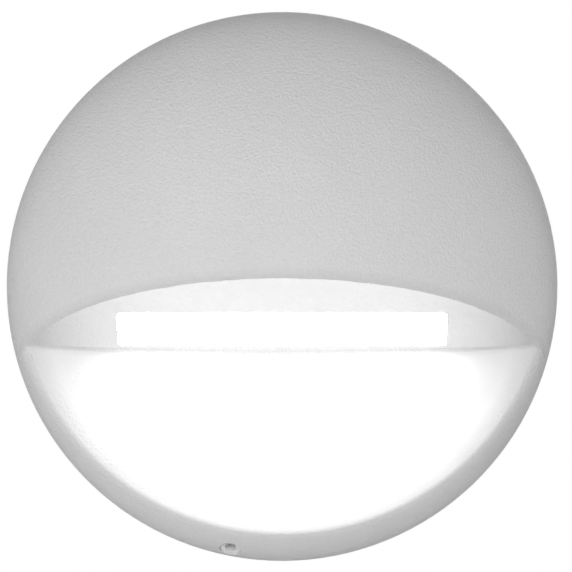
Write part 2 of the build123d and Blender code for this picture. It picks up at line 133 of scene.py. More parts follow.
# The floor's half width, the camera's frame in millimetres and the nearest thing that it sees
FLOOR_HALF = 0.8
FRAME_WIDTH = 36.0
NEAREST_SEEN = 0.01

WHITE = (1, 1, 1, 1)


# Settings


def length(name, description, default):
    """A length in metres."""
    return FloatProperty(name=name, description=description, default=default, unit="LENGTH", precision=5)


def colour(name, description, default):
    """A linear colour."""
    return FloatVectorProperty(
        name=name, description=description, default=default, subtype="COLOR", size=3, min=0, max=1
    )


def factor(name, description, default):
    """A share from 0 to 1."""
    return FloatProperty(name=name, description=description, default=default, subtype="FACTOR", min=0, max=1)


def level(name, description, default):
    """A brightness from 0 up."""
    return FloatProperty(name=name, description=description, default=default, min=0)


def power(name, description, default):
    """A lamp's power in watts."""
    return FloatProperty(name=name, description=description, default=default, min=0, unit="POWER")


def count(name, description, default):
    """A number of like pieces."""
    return IntProperty(name=name, description=description, default=default, min=1)


class CoatSettings(bpy.types.PropertyGroup):
    """Powder coat on the casting, the shade painted around its brow, and the set screw's coat painted lighter
    for the light on its face.
    """

    tint: colour("Tint", "Colour of the coat under plain light", (0.66, 0.66, 0.66))
    grain: length("Grain", "Width of one dimple of the orange peel", 0.36 * MM)
    relief: length("Relief", "Depth of the orange peel", 0.16 * MM)
    roughness: factor("Roughness", "Roughness of the cured coat", 0.58)
    # Painted shade: these four settings darken the tint on the slope and around the brow's edge, and end that
    # shade towards the rim
    thin: factor("Thin", "Share of the tint lost where the coat thins under the brow", 0.1)
    brow_shade_reach: length("Thin reach", "How far above the brow's edge the coat is thin", 1.0 * MM)
    rim_from: length("Rim from", "Distance from the axis at which the coat starts to thicken", 37.2 * MM)
    rim_to: length("Rim to", "Distance from the axis at which the coat is whole again", 38.4 * MM)
    smooth: factor("Smooth", "Share of the orange peel that the dish lacks", 0.7)
    # Painted light: the set screw's coat is a lighter copy of the cover's, for the light on its face
    screw_lit_tint: colour("Screw tint", "Colour of the coat on the set screw", (0.76, 0.76, 0.76))


class LensSettings(bpy.types.PropertyGroup):
    """Frosted lens, the light that comes through it, and the glow painted around it on the coat."""

    glow: colour("Glow", "Colour of the light", (1.0, 1.0, 1.0))
    strength: level("Strength", "Radiance of the lit lens", 20.0)
    ripple: factor("Ripple", "How much brighter the lens is in front of a package", 0.12)
    frost: length("Frost", "Width of the frosting's grain", 0.12 * MM)
    sunk: length("Sunk", "How far the lens sits behind the slope", 0.1 * MM)
    # Spill, wash and crease are painted glow, emission in the coat around the lens; the settings from here to
    # Fade to shape where it shows
    spill: factor("Spill", "Light that the slope around the lens catches", 0.35)
    spill_reach: length("Spill reach", "How far from the middle the slope catches light", 34 * MM)
    wash: factor("Wash", "Light that the dish catches besides the lens's own", 0.33)
    wash_start: factor("Wash start", "Share of the wash that the dish catches beside the slope", 0.5)
    wash_rise: length("Wash rise", "Height over the slope at which the dish catches the whole wash", 6 * MM)
    wash_reach: length("Wash reach", "How far from the middle the dish catches light", 38.5 * MM)
    crease: factor("Crease", "Light that the crease between slope and dish catches", 0.26)
    crease_reach: length("Crease reach", "How far from the middle the crease catches light", 28 * MM)
    crease_size: length("Crease size", "Height of the crease's rounding over slope and dish", 0.55 * MM)
    slope_end: length("Slope end", "Height over the slope in which its light ends", 0.02 * MM)
    dish_start: length("Dish start", "Height over the dish at which its light starts", 0.24 * MM)
    dish_full: length("Dish full", "Height over the dish at which its light is whole", 0.11 * MM)
    lip: length("Lip", "Drop under the dish in which light fades over its lip", 0.08 * MM)
    fade_from: length("Fade from", "Distance from the axis at which the wash starts to fade", 33.7 * MM)
    fade_to: length("Fade to", "Distance from the axis at which the wash ends", 37.8 * MM)


class ScrewSettings(bpy.types.PropertyGroup):
    """Small screws with a cross recess."""

    shank: length("Shank", "Radius over the thread", 1.0 * MM)
    pitch: length("Pitch", "Distance between threads", 0.4 * MM)
    thread: length("Thread", "Depth of the thread", 0.12 * MM)
    pan_height: length("Pan height", "Height of a pan head", 1.1 * MM)
    pan_top: length("Pan top", "Radius of a pan head's flat top", 1.15 * MM)
    pan_seat: length("Pan seat", "Radius of a pan head at its seat", 1.7 * MM)
    sunk_height: length("Sunk height", "Height of a countersunk head", 0.9 * MM)
    sunk_top: length("Sunk top", "Radius of a countersunk head's face", 1.9 * MM)
    recess_width: length("Recess width", "Width of a recess's arms", 0.42 * MM)
    recess_span: length("Recess span", "Length of a recess's arms", 1.9 * MM)
    recess_depth: length("Recess depth", "Depth of the recess", 0.6 * MM)


class PackageSettings(bpy.types.PropertyGroup):
    """Parts soldered in rows."""

    led_count: count("LED count", "Light packages on the strip", 6)
    resistor_count: count("Resistor count", "Chip resistors on the driver", 4)
    cap_share: factor("Cap share", "Share of a resistor that each tinned end takes", 0.2)
    contact_share: factor("Contact share", "Share of a light package that each contact takes", 0.12)
    face_share: factor("Face share", "Share of a package that its face covers", 0.8)


class StageSettings(bpy.types.PropertyGroup):
    """Camera, lamps and floor."""

    distance: length("Distance", "From the lens of the camera to the rim of the light", 0.4)
    elevation: FloatProperty(
        name="Elevation", description="Camera above the light's axis", default=radians(-5), subtype="ANGLE"
    )
    aside: length("Aside", "Camera to the right of the light's axis", 0.55 * MM)
    raise_by: length("Raise", "Camera's aim above the light's axis", 0.05 * MM)
    focal: FloatProperty(name="Focal length", description="On a 36 mm frame", default=176.25, unit="CAMERA")
    floor: length("Floor", "Height of the floor", -0.12)
    floor_lift: factor("Floor lift", "How much paler the floor looks than its light makes it", 0.4)
    ambient: level("Ambient", "Brightness of the room", 0.23)
    front: power("Front", "Power of the lamp in front", 0.215)
    key: power("Key", "Power of the softbox on the left", 1.7)
    fill: power("Fill", "Power of the softbox on the right", 2.0)
    rear: power("Rear", "Power of the softbox behind", 1.5)


class DeckLightSettings(bpy.types.PropertyGroup):
    """Everything that a user would change."""

    coat: PointerProperty(type=CoatSettings)
    lens: PointerProperty(type=LensSettings)
    screws: PointerProperty(type=ScrewSettings)
    packages: PointerProperty(type=PackageSettings)
    stage: PointerProperty(type=StageSettings)


# Node helpers


def put(tree, kind, inputs=None, **options):
    """Add a node, set its options and fill its sockets with values or links."""
    node = tree.nodes.new(kind)
    for key, value in options.items():
        setattr(node, key, value)
    for key, value in (inputs or {}).items():
        if isinstance(value, bpy.types.NodeSocket):
            tree.links.new(value, node.inputs[key])
        else:
            node.inputs[key].default_value = value
    return node


def reckon(tree, operation, first, second=0.0, third=0.0):
    """The result of one Math node."""
    return put(tree, "ShaderNodeMath", {0: first, 1: second, 2: third}, operation=operation).outputs[0]


def product(tree, *factors):
    """Values and links multiplied together."""
    return reduce(lambda result, value: reckon(tree, "MULTIPLY", result, value), factors)


def greatest(tree, *values):
    """The greatest of some values and links."""
    return reduce(lambda result, value: reckon(tree, "MAXIMUM", result, value), values)


def new_finish(name):
    """A material, its tree, its shader and its Object coordinates."""
    material = bpy.data.materials.new(name)
    material.use_nodes = True
    tree = material.node_tree
    place = put(tree, "ShaderNodeTexCoord").outputs["Object"]
    return material, tree, tree.nodes["Principled BSDF"], place


def noise(tree, place, grain, stretch=(1, 1, 1), detail=2.0):
    """Noise whose dimples are about one grain wide, drawn out along the axes by a stretch."""
    spread = tuple(1 / (grain * s) for s in stretch)
    mapped = put(tree, "ShaderNodeMapping", {"Vector": place, "Scale": spread}).outputs[0]
    return put(tree, "ShaderNodeTexNoise", {"Vector": mapped, "Scale": 1.0, "Detail": detail}).outputs["Fac"]


def pores(tree, place, grain):
    """Rounded cells of the given width, dark in the middle."""
    cells = {"Vector": place, "Scale": 1 / grain, "Smoothness": 0.6}
    return put(tree, "ShaderNodeTexVoronoi", cells, feature="SMOOTH_F1").outputs["Distance"]


def from_axis(tree, place):
    """Distance of a point from the light's axis."""
    flat = put(tree, "ShaderNodeVectorMath", {0: place, 1: (1, 0, 1)}, operation="MULTIPLY").outputs["Vector"]
    return put(tree, "ShaderNodeVectorMath", {0: flat}, operation="LENGTH").outputs["Value"]


def between(tree, pattern, low, high, start=NOISE_LOW, stop=NOISE_HIGH):
    """A pattern spread between two values."""
    ends = {"Value": pattern, "From Min": start, "From Max": stop, "To Min": low, "To Max": high}
    return put(tree, "ShaderNodeMapRange", ends).outputs["Result"]


def rise(tree, value, start, stop):
    """0 before a start, 1 past a stop and even between them."""
    return between(tree, value, 0.0, 1.0, start, stop)


def fall(tree, value, start, stop):
    """1 before a start, 0 past a stop and even between them."""
    return between(tree, value, 1.0, 0.0, start, stop)


def tones(tree, pattern, dark, light, start=NOISE_LOW, stop=NOISE_HIGH):
    """A pattern spread between two colours."""
    ramp = put(tree, "ShaderNodeValToRGB", {"Fac": pattern})
    for end, position, tint in zip(ramp.color_ramp.elements, (start, stop), (dark, light)):
        end.position = position
        end.color = (*tint, 1)
    return ramp.outputs["Color"]


def relief(tree, shader, pattern, depth):
    """Bump of a real depth in metres."""
    bump = put(tree, "ShaderNodeBump", {"Height": pattern, "Distance": depth, "Strength": 1.0})
    tree.links.new(bump.outputs["Normal"], shader.inputs["Normal"])


def shade(tint, share):
    """A colour made darker or lighter by a share."""
    return tuple(min(1.0, c * share) for c in tint)


def shades(tree, pattern, tint, low, high):
    """A pattern spread between a darker and a lighter shade of a colour."""
    return tones(tree, pattern, shade(tint, low), shade(tint, high))


# Finishes


def moulded(name, tint, roughness, grain=0.3 * MM, depth=0.004 * MM, spread=0.08):
    """Moulded plastic or rubber: a fine tooled texture, with faint patches many grains wide."""
    material, tree, shader, place = new_finish(name)
    patches = noise(tree, place, PATCH_GRAINS * grain)
    tooling = noise(tree, place, grain, detail=3.0)
    tree.links.new(shades(tree, patches, tint, 1 - spread, 1 + spread), shader.inputs["Base Color"])
    gloss = between(tree, tooling, roughness - MOULDED_GLOSS, roughness + MOULDED_GLOSS)
    tree.links.new(gloss, shader.inputs["Roughness"])
    relief(tree, shader, tooling, depth)
    return material


def metal(name, tint, roughness, marks, depth):
    """Bare metal with faint clouds and tool marks, where marks(tree, place) draws the marks."""
    material, tree, shader, place = new_finish(name)
    shader.inputs["Metallic"].default_value = 1.0
    pattern = marks(tree, place)
    clouds = noise(tree, place, METAL_CLOUD)
    tree.links.new(shades(tree, clouds, tint, *METAL_SHADES), shader.inputs["Base Color"])
    gloss = between(tree, pattern, roughness - METAL_GLOSS, roughness + METAL_GLOSS)
    tree.links.new(gloss, shader.inputs["Roughness"])
    relief(tree, shader, pattern, depth)
    return material


def solder_mask(name, tint, track_tint, roughness=0.35, depth=0.01 * MM):
    """Circuit board: lacquer over long tracks, whose edges show as a slightly different tone."""
    material, tree, shader, place = new_finish(name)
    upright = {"Vector": place, "Rotation": (radians(90), 0, 0)}
    mapped = put(tree, "ShaderNodeMapping", upright).outputs[0]
    tracks = put(tree, "ShaderNodeTexBrick", {"Vector": mapped, "Scale": 1.0} | TRACK_SIZES).outputs["Fac"]
    shader.inputs["Roughness"].default_value = roughness
    tree.links.new(tones(tree, tracks, tint, track_tint), shader.inputs["Base Color"])
    relief(tree, shader, tracks, depth)
    return material


def powder_coat(name, settings, tint):
    """White powder coat: orange peel with finer crumbs in it, over slow changes of tone."""
    material, tree, shader, place = new_finish(name)
    flow = noise(tree, place, COAT_FLOW)
    peel = noise(tree, place, settings.grain, detail=1.5)
    crumb = noise(tree, place, CRUMB_SIZE * settings.grain, detail=1.0)
    height = reckon(tree, "MULTIPLY_ADD", crumb, CRUMB_SHARE, peel)
    tree.links.new(shades(tree, flow, tint, *COAT_SHADES), shader.inputs["Base Color"])
    gloss = between(tree, peel, *(settings.roughness + change for change in COAT_GLOSS))
    tree.links.new(gloss, shader.inputs["Roughness"])
    relief(tree, shader, height, settings.relief)
    return material


def lens_face():
    """How far out the lens's front face lies along the slope's normal."""
    return max(vert.co.dot(SLOPE_OUT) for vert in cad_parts["lens"].data.vertices)


def along_slope_out(tree, place):
    """How far out a point lies along the slope's normal."""
    out = put(tree, "ShaderNodeVectorMath", {0: place, 1: SLOPE_OUT}, operation="DOT_PRODUCT")
    return out.outputs["Value"]


def behind_slope(tree, place, settings):
    """How far a point lies behind the slope's plane."""
    return reckon(tree, "SUBTRACT", lens_face() + settings.sunk, along_slope_out(tree, place))


def painted_glow(tree, place, strength, reach):
    """Painted glow that fades from the middle towards both ends."""
    across = reckon(tree, "ABSOLUTE", put(tree, "ShaderNodeSeparateXYZ", {0: place}).outputs["X"])
    loss = reckon(tree, "POWER", reckon(tree, "DIVIDE", across, reach), LATE_DROP)
    return between(tree, loss, strength, 0.0, start=0.0, stop=1.0)


def paint_lens_glow(material, coat, lens):
    """Paint a glow into the coat, as emission, on the slope around the lens, the dish below it and the crease
    between them, and make the dish's peel smoother.
    """
    tree = material.node_tree
    shader = tree.nodes["Principled BSDF"]
    place = put(tree, "ShaderNodeTexCoord").outputs["Object"]
    ahead = product(tree, behind_slope(tree, place, lens), -1.0)
    to_ball = put(tree, "ShaderNodeVectorMath", {0: place, 1: BALL}, operation="DISTANCE").outputs["Value"]
    drop = reckon(tree, "SUBTRACT", to_ball, BALL_RADIUS)
    not_brow = reckon(tree, "GREATER_THAN", ahead, -NEAR)
    on_slope = fall(tree, ahead, 0.0, lens.slope_end)
    on_dish = product(
        tree,
        rise(tree, drop, -lens.dish_start, -lens.dish_full),
        fall(tree, drop, 0.0, lens.lip),
        reckon(tree, "GREATER_THAN", ahead, NEAR),
        fall(tree, from_axis(tree, place), lens.fade_from, lens.fade_to),
    )
    in_crease = product(
        tree,
        reckon(tree, "LESS_THAN", ahead, lens.crease_size),
        reckon(tree, "GREATER_THAN", drop, -lens.crease_size),
        not_brow,
    )
    rising = between(tree, ahead, lens.wash_start, 1.0, start=0.0, stop=lens.wash_rise)
    spill = product(tree, painted_glow(tree, place, lens.spill, lens.spill_reach), on_slope, not_brow)
    wash = product(tree, painted_glow(tree, place, lens.wash, lens.wash_reach), on_dish, rising)
    crease = product(tree, painted_glow(tree, place, lens.crease, lens.crease_reach), in_crease)
    # Painted light: the glow is emission in the coat
    tree.links.new(greatest(tree, spill, wash, crease), shader.inputs["Emission Strength"])
    shader.inputs["Emission Color"].default_value = (*lens.glow, 1)
    material.cycles.emission_sampling = "NONE"
    bump = shader.inputs["Normal"].links[0].from_node
    peel = between(tree, on_dish, 1.0, 1 - coat.smooth, start=0.0, stop=1.0)
    tree.links.new(peel, bump.inputs["Strength"])


def paint_brow_shade(material, coat, lens):
    """Paint shade into the coat: darken a share of its tint on the slope and around the brow's edge, but not
    on the rim.
    """
    tree = material.node_tree
    shader = tree.nodes["Principled BSDF"]
    place = put(tree, "ShaderNodeTexCoord").outputs["Object"]
    behind = behind_slope(tree, place, lens)
    # Painted shade, strongest on the slope's plane and fading out over a reach behind it
    kept = between(tree, behind, 1 - coat.thin, 1.0, start=0.0, stop=coat.brow_shade_reach)
    in_front = reckon(tree, "LESS_THAN", behind, -NEAR)
    on_rim = rise(tree, from_axis(tree, place), coat.rim_from, coat.rim_to)
    tint = shader.inputs["Base Color"].links[0].from_socket
    brow_shading = {"Value": greatest(tree, kept, in_front, on_rim), "Color": tint}
    shaded = put(tree, "ShaderNodeHueSaturation", brow_shading)
    tree.links.new(shaded.outputs["Color"], shader.inputs["Base Color"])


def frosted_lens(settings, face, pitch, packages):
    """Frosted lens whose front face is lit from behind, a little brighter in front of each package."""
    material, tree, shader, place = new_finish("frosted_lens")
    frost = noise(tree, place, settings.frost, detail=2.0)
    across = put(tree, "ShaderNodeSeparateXYZ", {0: place}).outputs["X"]
    wave = reckon(tree, "COSINE", product(tree, across, tau / pitch))
    # An even number of packages leaves the middle of the lens between two of them
    ripple = settings.ripple if packages % 2 else -settings.ripple
    ends = (settings.strength * (1 - ripple), settings.strength * (1 + ripple))
    lit = between(tree, wave, *ends, start=-1.0, stop=1.0)
    shown = reckon(tree, "GREATER_THAN", along_slope_out(tree, place), face - NEAR)
    tree.links.new(product(tree, lit, shown), shader.inputs["Emission Strength"])
    shader.inputs["Emission Color"].default_value = (*settings.glow, 1)
    tree.links.new(tones(tree, frost, *FROST_TINTS), shader.inputs["Base Color"])
    tree.links.new(between(tree, frost, *FROST_ROUGHNESS), shader.inputs["Roughness"])
    relief(tree, shader, frost, FROST_DEPTH)
    return material


def foam(name, tint, pore=0.35 * MM, depth=0.08 * MM, pore_shadow=0.72):
    """Closed-cell foam: small round pores, darkened by painted shade and smoother than the sheet."""
    material, tree, shader, place = new_finish(name)
    cells = pores(tree, place, pore)
    # Painted shade: the middle of each pore is darker
    shaded_pores = tones(tree, cells, shade(tint, pore_shadow), tint, start=0.05, stop=0.45)
    tree.links.new(shaded_pores, shader.inputs["Base Color"])
    tree.links.new(between(tree, cells, 0.8, 0.95, start=0.1, stop=0.5), shader.inputs["Roughness"])
    relief(tree, shader, cells, depth)
    return material


def fine_grain(tree, place, grain=0.12 * MM):
    """Marks of a tumbled and plated screw."""
    return noise(tree, place, grain, detail=3.0)


def brushing(tree, place, width=0.06 * MM):
    """Straight fine lines across a sheet."""
    return noise(tree, place, width, stretch=(60, 1, 1), detail=3.0)


def turning(tree, place, pitch=0.12 * MM):
    """Fine rings around the light's axis, as a lathe leaves them."""
    rings = {"W": from_axis(tree, place), "Scale": 1 / pitch, "Detail": 3.0}
    return put(tree, "ShaderNodeTexNoise", rings, noise_dimensions="1D").outputs["Fac"]


def milled_aluminium():
    """Bare aluminium with short milling marks."""
    return metal("milled_aluminium", (0.72, 0.73, 0.74), roughness=0.36, marks=brushing, depth=0.004 * MM)


def drawn_can():
    """Aluminium can of a capacitor."""
    return metal("capacitor_can", (0.74, 0.75, 0.76), roughness=0.28, marks=fine_grain, depth=0.002 * MM)


def tin():
    """Bright tinned contacts."""
    return metal("tin", (0.72, 0.72, 0.7), roughness=0.25, marks=fine_grain, depth=0.002 * MM)


def dress(node, material):
    """Give a solid of the frame its finish."""
    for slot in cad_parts[node].material_slots:
        slot.material = material


# Pieces grown with Geometry Nodes on the places of the frame's solids


def new_tree(name, sockets):
    """A Geometry Nodes tree with named inputs, its group input and its output."""
    tree = bpy.data.node_groups.new(name, "GeometryNodeTree")
    tree.interface.new_socket("Geometry", in_out="INPUT", socket_type="NodeSocketGeometry")
    for label, kind in sockets:
        tree.interface.new_socket(label, in_out="INPUT", socket_type="NodeSocket" + kind)
    tree.interface.new_socket("Geometry", in_out="OUTPUT", socket_type="NodeSocketGeometry")
    return tree, put(tree, "NodeGroupInput").outputs, put(tree, "NodeGroupOutput")


def grow(tree, spots, name, values):
    """Run a tree on a set of points and keep the result as a plain mesh at the origin."""
    points = bpy.data.meshes.new(name + "_spots")
    points.from_pydata(spots, [], [])
    holder = bpy.data.objects.new(name + "_spots", points)
    bpy.context.scene.collection.objects.link(holder)
    modifier = holder.modifiers.new("Nodes", "NODES")
    modifier.node_group = tree
    for item in tree.interface.items_tree:
        if item.in_out == "INPUT" and item.name in values:
            modifier[item.identifier] = values[item.name]
    graph = bpy.context.evaluated_depsgraph_get()
    mesh = bpy.data.meshes.new_from_object(holder.evaluated_get(graph), depsgraph=graph)
    mesh.name = name
    bpy.data.objects.remove(holder)
    piece = bpy.data.objects.new(name, mesh)
    bpy.context.scene.collection.objects.link(piece)
    if not mesh.polygons:
        raise RuntimeError(f"{name} grew no faces")
    return piece


def solids_of(node):
    """The corner points of each separate solid in a node, from left to right."""
    mesh = bmesh.new()
    mesh.from_mesh(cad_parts[node].data)
    bmesh.ops.remove_doubles(mesh, verts=mesh.verts, dist=SAME)
    left = set(mesh.verts)
    found = []
    while left:
        front = [left.pop()]
        solid = []
        while front:
            vert = front.pop()
            solid.append(vert.co.copy())
            near = {edge.other_vert(vert) for edge in vert.link_edges} & left
            left -= near
            front.extend(near)
        found.append(solid)
    mesh.free()
    return sorted(found, key=lambda solid: sum(co.x for co in solid) / len(solid))


def measured(solid, axis):
    """A solid's foot and head on its centre line along an axis, and its sizes across and along it."""
    ways = (SIDE, axis.cross(SIDE), axis)
    lows = [min(co.dot(way) for co in solid) for way in ways]
    highs = [max(co.dot(way) for co in solid) for way in ways]
    sizes = [high - low for low, high in zip(lows, highs)]
    centre = sum((way * (low + high) / 2 for way, low, high in zip(ways[:2], lows, highs)), Vector())
    return centre + axis * lows[2], centre + axis * highs[2], sizes


def head_tops(node, axis):
    """The centre of each screw's head, where the axis leaves it, and the screws' whole length."""
    _, heads, sizes = zip(*(measured(solid, axis) for solid in solids_of(node)))
    return heads, sizes[-1][2]


def row_of_packages(node, axis, number):
    """The foot of each package in a row, and the size of one package, read from the row's solids."""
    feet, _, sizes = zip(*(measured(solid, axis) for solid in solids_of(node)))
    if len(feet) != number:
        raise RuntimeError(f"{node} has {len(feet)} solids, not {number}")
    return feet, Vector(sizes[-1])


def on_points(tree, given, instance):
    """A real copy of an instance on each given point, with its Z axis along the given axis."""
    turned = put(tree, "FunctionNodeAlignRotationToVector", {"Vector": given["Axis"]}, axis="Z").outputs[0]
    spread = {"Points": given["Geometry"], "Instance": instance, "Rotation": turned}
    placed = put(tree, "GeometryNodeInstanceOnPoints", spread).outputs[0]
    return put(tree, "GeometryNodeRealizeInstances", {"Geometry": placed}).outputs[0]


def painted(tree, geometry, material):
    """A geometry with a finish."""
    return put(tree, "GeometryNodeSetMaterial", {"Geometry": geometry, "Material": material}).outputs[0]


def lathe(tree, rings, top, bottom, radius):
    """A turned body of some rings along Z, whose radius follows a rule on the number of the ring."""
    start = put(tree, "ShaderNodeCombineXYZ", {"Z": top}).outputs[0]
    stop = put(tree, "ShaderNodeCombineXYZ", {"Z": bottom}).outputs[0]
    ends = {"Count": rings, "Start Location": start, "Offset": stop}
    line = put(tree, "GeometryNodeMeshLine", ends, mode="END_POINTS").outputs[0]
    curve = put(tree, "GeometryNodeMeshToCurve", {"Mesh": line}).outputs[0]
    sized = put(tree, "GeometryNodeSetCurveRadius", {"Curve": curve, "Radius": radius}).outputs[0]
    circle = {"Resolution": RING_SIDES, "Radius": 1.0}
    ring = put(tree, "GeometryNodeCurvePrimitiveCircle", circle).outputs[0]
    scale = put(tree, "GeometryNodeInputRadius").outputs[0]
    turned = {"Curve": sized, "Profile Curve": ring, "Scale": scale, "Fill Caps": True}
    return put(tree, "GeometryNodeCurveToMesh", turned).outputs[0]


def screw_tree():
    """Screws with a turned head, a cross recess and a ringed thread, one on each point."""
    sockets = [(label, "Float") for label in SCREW_SIZES]
    sockets += [("Thread Count", "Int"), ("Axis", "Vector"), ("Metal", "Material")]
    tree, given, output = new_tree("turned_screws", sockets)
    ring = put(tree, "GeometryNodeInputIndex").outputs[0]
    seat = product(tree, given["Head Height"], -1.0)
    tip = product(tree, given["Length"], -1.0)

    to_top = reckon(tree, "SUBTRACT", 1.0, reckon(tree, "DIVIDE", ring, HEAD_RINGS - 1))
    bulge = reckon(tree, "SUBTRACT", 1.0, reckon(tree, "POWER", to_top, given["Crown"]))
    widening = reckon(tree, "SUBTRACT", given["Seat Radius"], given["Top Radius"])
    head_radius = reckon(tree, "ADD", given["Top Radius"], product(tree, widening, bulge))
    head = lathe(tree, HEAD_RINGS, 0.0, seat, head_radius)

    # Half of the box that cuts an arm stands above the head
    sizes = {0: given["Recess Span"], 1: given["Recess Width"], 2: product(tree, given["Recess Depth"], 2.0)}
    box = put(tree, "ShaderNodeCombineXYZ", sizes).outputs[0]
    arm = put(tree, "GeometryNodeMeshCube", {"Size": box}).outputs[0]
    crossing = {"Geometry": arm, "Rotation": (0, 0, radians(90)), "Scale": SECOND_ARM}
    for cut in (arm, put(tree, "GeometryNodeTransform", crossing).outputs[0]):
        cutting = {"Mesh 1": head, "Mesh 2": cut}
        head = put(tree, "GeometryNodeMeshBoolean", cutting, operation="DIFFERENCE").outputs[0]

    # Every second ring of the shank is a crest of the thread
    root = reckon(tree, "SUBTRACT", given["Shank Radius"], given["Thread Depth"])
    crest = product(tree, reckon(tree, "MODULO", ring, 2.0), given["Thread Depth"])
    shank_rings = reckon(tree, "MULTIPLY_ADD", given["Thread Count"], 2.0, 1.0)
    shank = lathe(tree, shank_rings, seat, tip, reckon(tree, "ADD", root, crest))

    screw = put(tree, "GeometryNodeJoinGeometry")
    tree.links.new(head, screw.inputs[0])
    tree.links.new(shank, screw.inputs[0])
    screws = on_points(tree, given, screw.outputs[0])
    tree.links.new(painted(tree, screws, given["Metal"]), output.inputs[0])
    return tree


def package_tree():
    """Soldered parts with a face and two tinned ends, one on each point."""
    sockets = [("Size", "Vector"), ("Cap Share", "Float"), ("Face Share", "Float"), ("Face Height", "Float")]
    sockets += [("Axis", "Vector"), ("Body", "Material"), ("Caps", "Material"), ("Face", "Material")]
    tree, given, output = new_tree("soldered_packages", sockets)
    width, depth, height = put(tree, "ShaderNodeSeparateXYZ", {0: given["Size"]}).outputs
    cap_width = product(tree, width, given["Cap Share"])
    body_width = reckon(tree, "SUBTRACT", width, product(tree, cap_width, 2.0))
    body_height = reckon(tree, "SUBTRACT", height, given["Face Height"])
    body_rise = reckon(tree, "DIVIDE", body_height, 2.0)
    face_width = product(tree, body_width, given["Face Share"])
    face_depth = product(tree, depth, given["Face Share"])
    face_rise = reckon(tree, "SUBTRACT", height, reckon(tree, "DIVIDE", given["Face Height"], 2.0))
    cap_shift = reckon(tree, "DIVIDE", reckon(tree, "SUBTRACT", width, cap_width), 2.0)
    whole = put(tree, "GeometryNodeJoinGeometry")

    def block(sizes, aside, up, material):
        """Add a box with a finish to the whole."""
        box = put(tree, "ShaderNodeCombineXYZ", dict(enumerate(sizes))).outputs[0]
        cube = put(tree, "GeometryNodeMeshCube", {"Size": box}).outputs[0]
        place = put(tree, "ShaderNodeCombineXYZ", {"X": aside, "Z": up}).outputs[0]
        moved = put(tree, "GeometryNodeTransform", {"Geometry": cube, "Translation": place}).outputs[0]
        tree.links.new(painted(tree, moved, material), whole.inputs[0])

    block((body_width, depth, body_height), 0.0, body_rise, given["Body"])
    for side in (-1.0, 1.0):
        block((cap_width, depth, body_height), product(tree, cap_shift, side), body_rise, given["Caps"])
    block((face_width, face_depth, given["Face Height"]), 0.0, face_rise, given["Face"])
    tree.links.new(on_points(tree, given, whole.outputs[0]), output.inputs[0])
    return tree


# Stage


def softbox(name, place, width, watts):
    """A square lamp that faces the light, out of the camera's sight."""
    lamp = bpy.data.lights.new(name, "AREA")
    lamp.size = width
    lamp.energy = watts
    box = bpy.data.objects.new(name, lamp)
    box.location = place
    box.visible_camera = False
    box.rotation_euler = (-place).to_track_quat("-Z", "Y").to_euler()
    bpy.context.scene.collection.objects.link(box)


def seen_rays(tree):
    """1 for the rays in which the camera sees the surroundings, also by way of metal or glass."""
    path = put(tree, "ShaderNodeLightPath").outputs
    return greatest(tree, path["Is Camera Ray"], path["Is Glossy Ray"], path["Is Transmission Ray"])


def pale_floor(lift):
    """A faintly mottled floor that looks paler than it is lit, so that no more light falls on the object."""
    material = moulded("pale_floor", (0.86, 0.86, 0.86), roughness=0.8, grain=2 * MM, spread=0.02)
    tree = material.node_tree
    shader = tree.nodes["Principled BSDF"]
    tree.links.new(product(tree, seen_rays(tree), lift), shader.inputs["Emission Strength"])
    shader.inputs["Emission Color"].default_value = WHITE
    material.cycles.emission_sampling = "NONE"
    return material


def surroundings(scene, ambient):
    """A soft room for the light on the object, and white where the camera, metal or glass sees past it."""
    world = bpy.data.worlds.new("room")
    world.use_nodes = True
    tree = world.node_tree
    tree.nodes.clear()
    room = put(tree, "ShaderNodeBackground", {"Color": WHITE, "Strength": ambient}).outputs[0]
    white = put(tree, "ShaderNodeBackground", {"Color": WHITE, "Strength": 1.0}).outputs[0]
    mixed = put(tree, "ShaderNodeMixShader", {0: seen_rays(tree), 1: room, 2: white}).outputs[0]
    put(tree, "ShaderNodeOutputWorld", {"Surface": mixed})
    scene.world = world


# Operators


def settings_of(context):
    """The deck light's settings on the scene."""
    return context.scene.deck_light


class DECKLIGHT_OT_cover(bpy.types.Operator):
    """Powder coat the casting, with painted shade around the brow and a painted glow around the lens"""

    bl_idname = "deck_light.cover"
    bl_label = "Cover"

    def execute(self, context):
        settings = settings_of(context)
        coat = powder_coat("powder_coat", settings.coat, settings.coat.tint)
        paint_brow_shade(coat, settings.coat, settings.lens)
        paint_lens_glow(coat, settings.coat, settings.lens)
        dress("front_cover", coat)
        return {"FINISHED"}


class DECKLIGHT_OT_lens(bpy.types.Operator):
    """Frost and light the lens, and bed it in silicone"""

    bl_idname = "deck_light.lens"
    bl_label = "Lens"

    def execute(self, context):
        settings = settings_of(context)
        feet = row_of_packages("led_chips", SLOPE_OUT, settings.packages.led_count)[0]
        pitch = feet[1].x - feet[0].x
        dress("lens", frosted_lens(settings.lens, lens_face(), pitch, len(feet)))
        dress("lens_bead", moulded("clear_silicone", (0.8, 0.8, 0.78), roughness=0.3, grain=0.5 * MM))
        return {"FINISHED"}


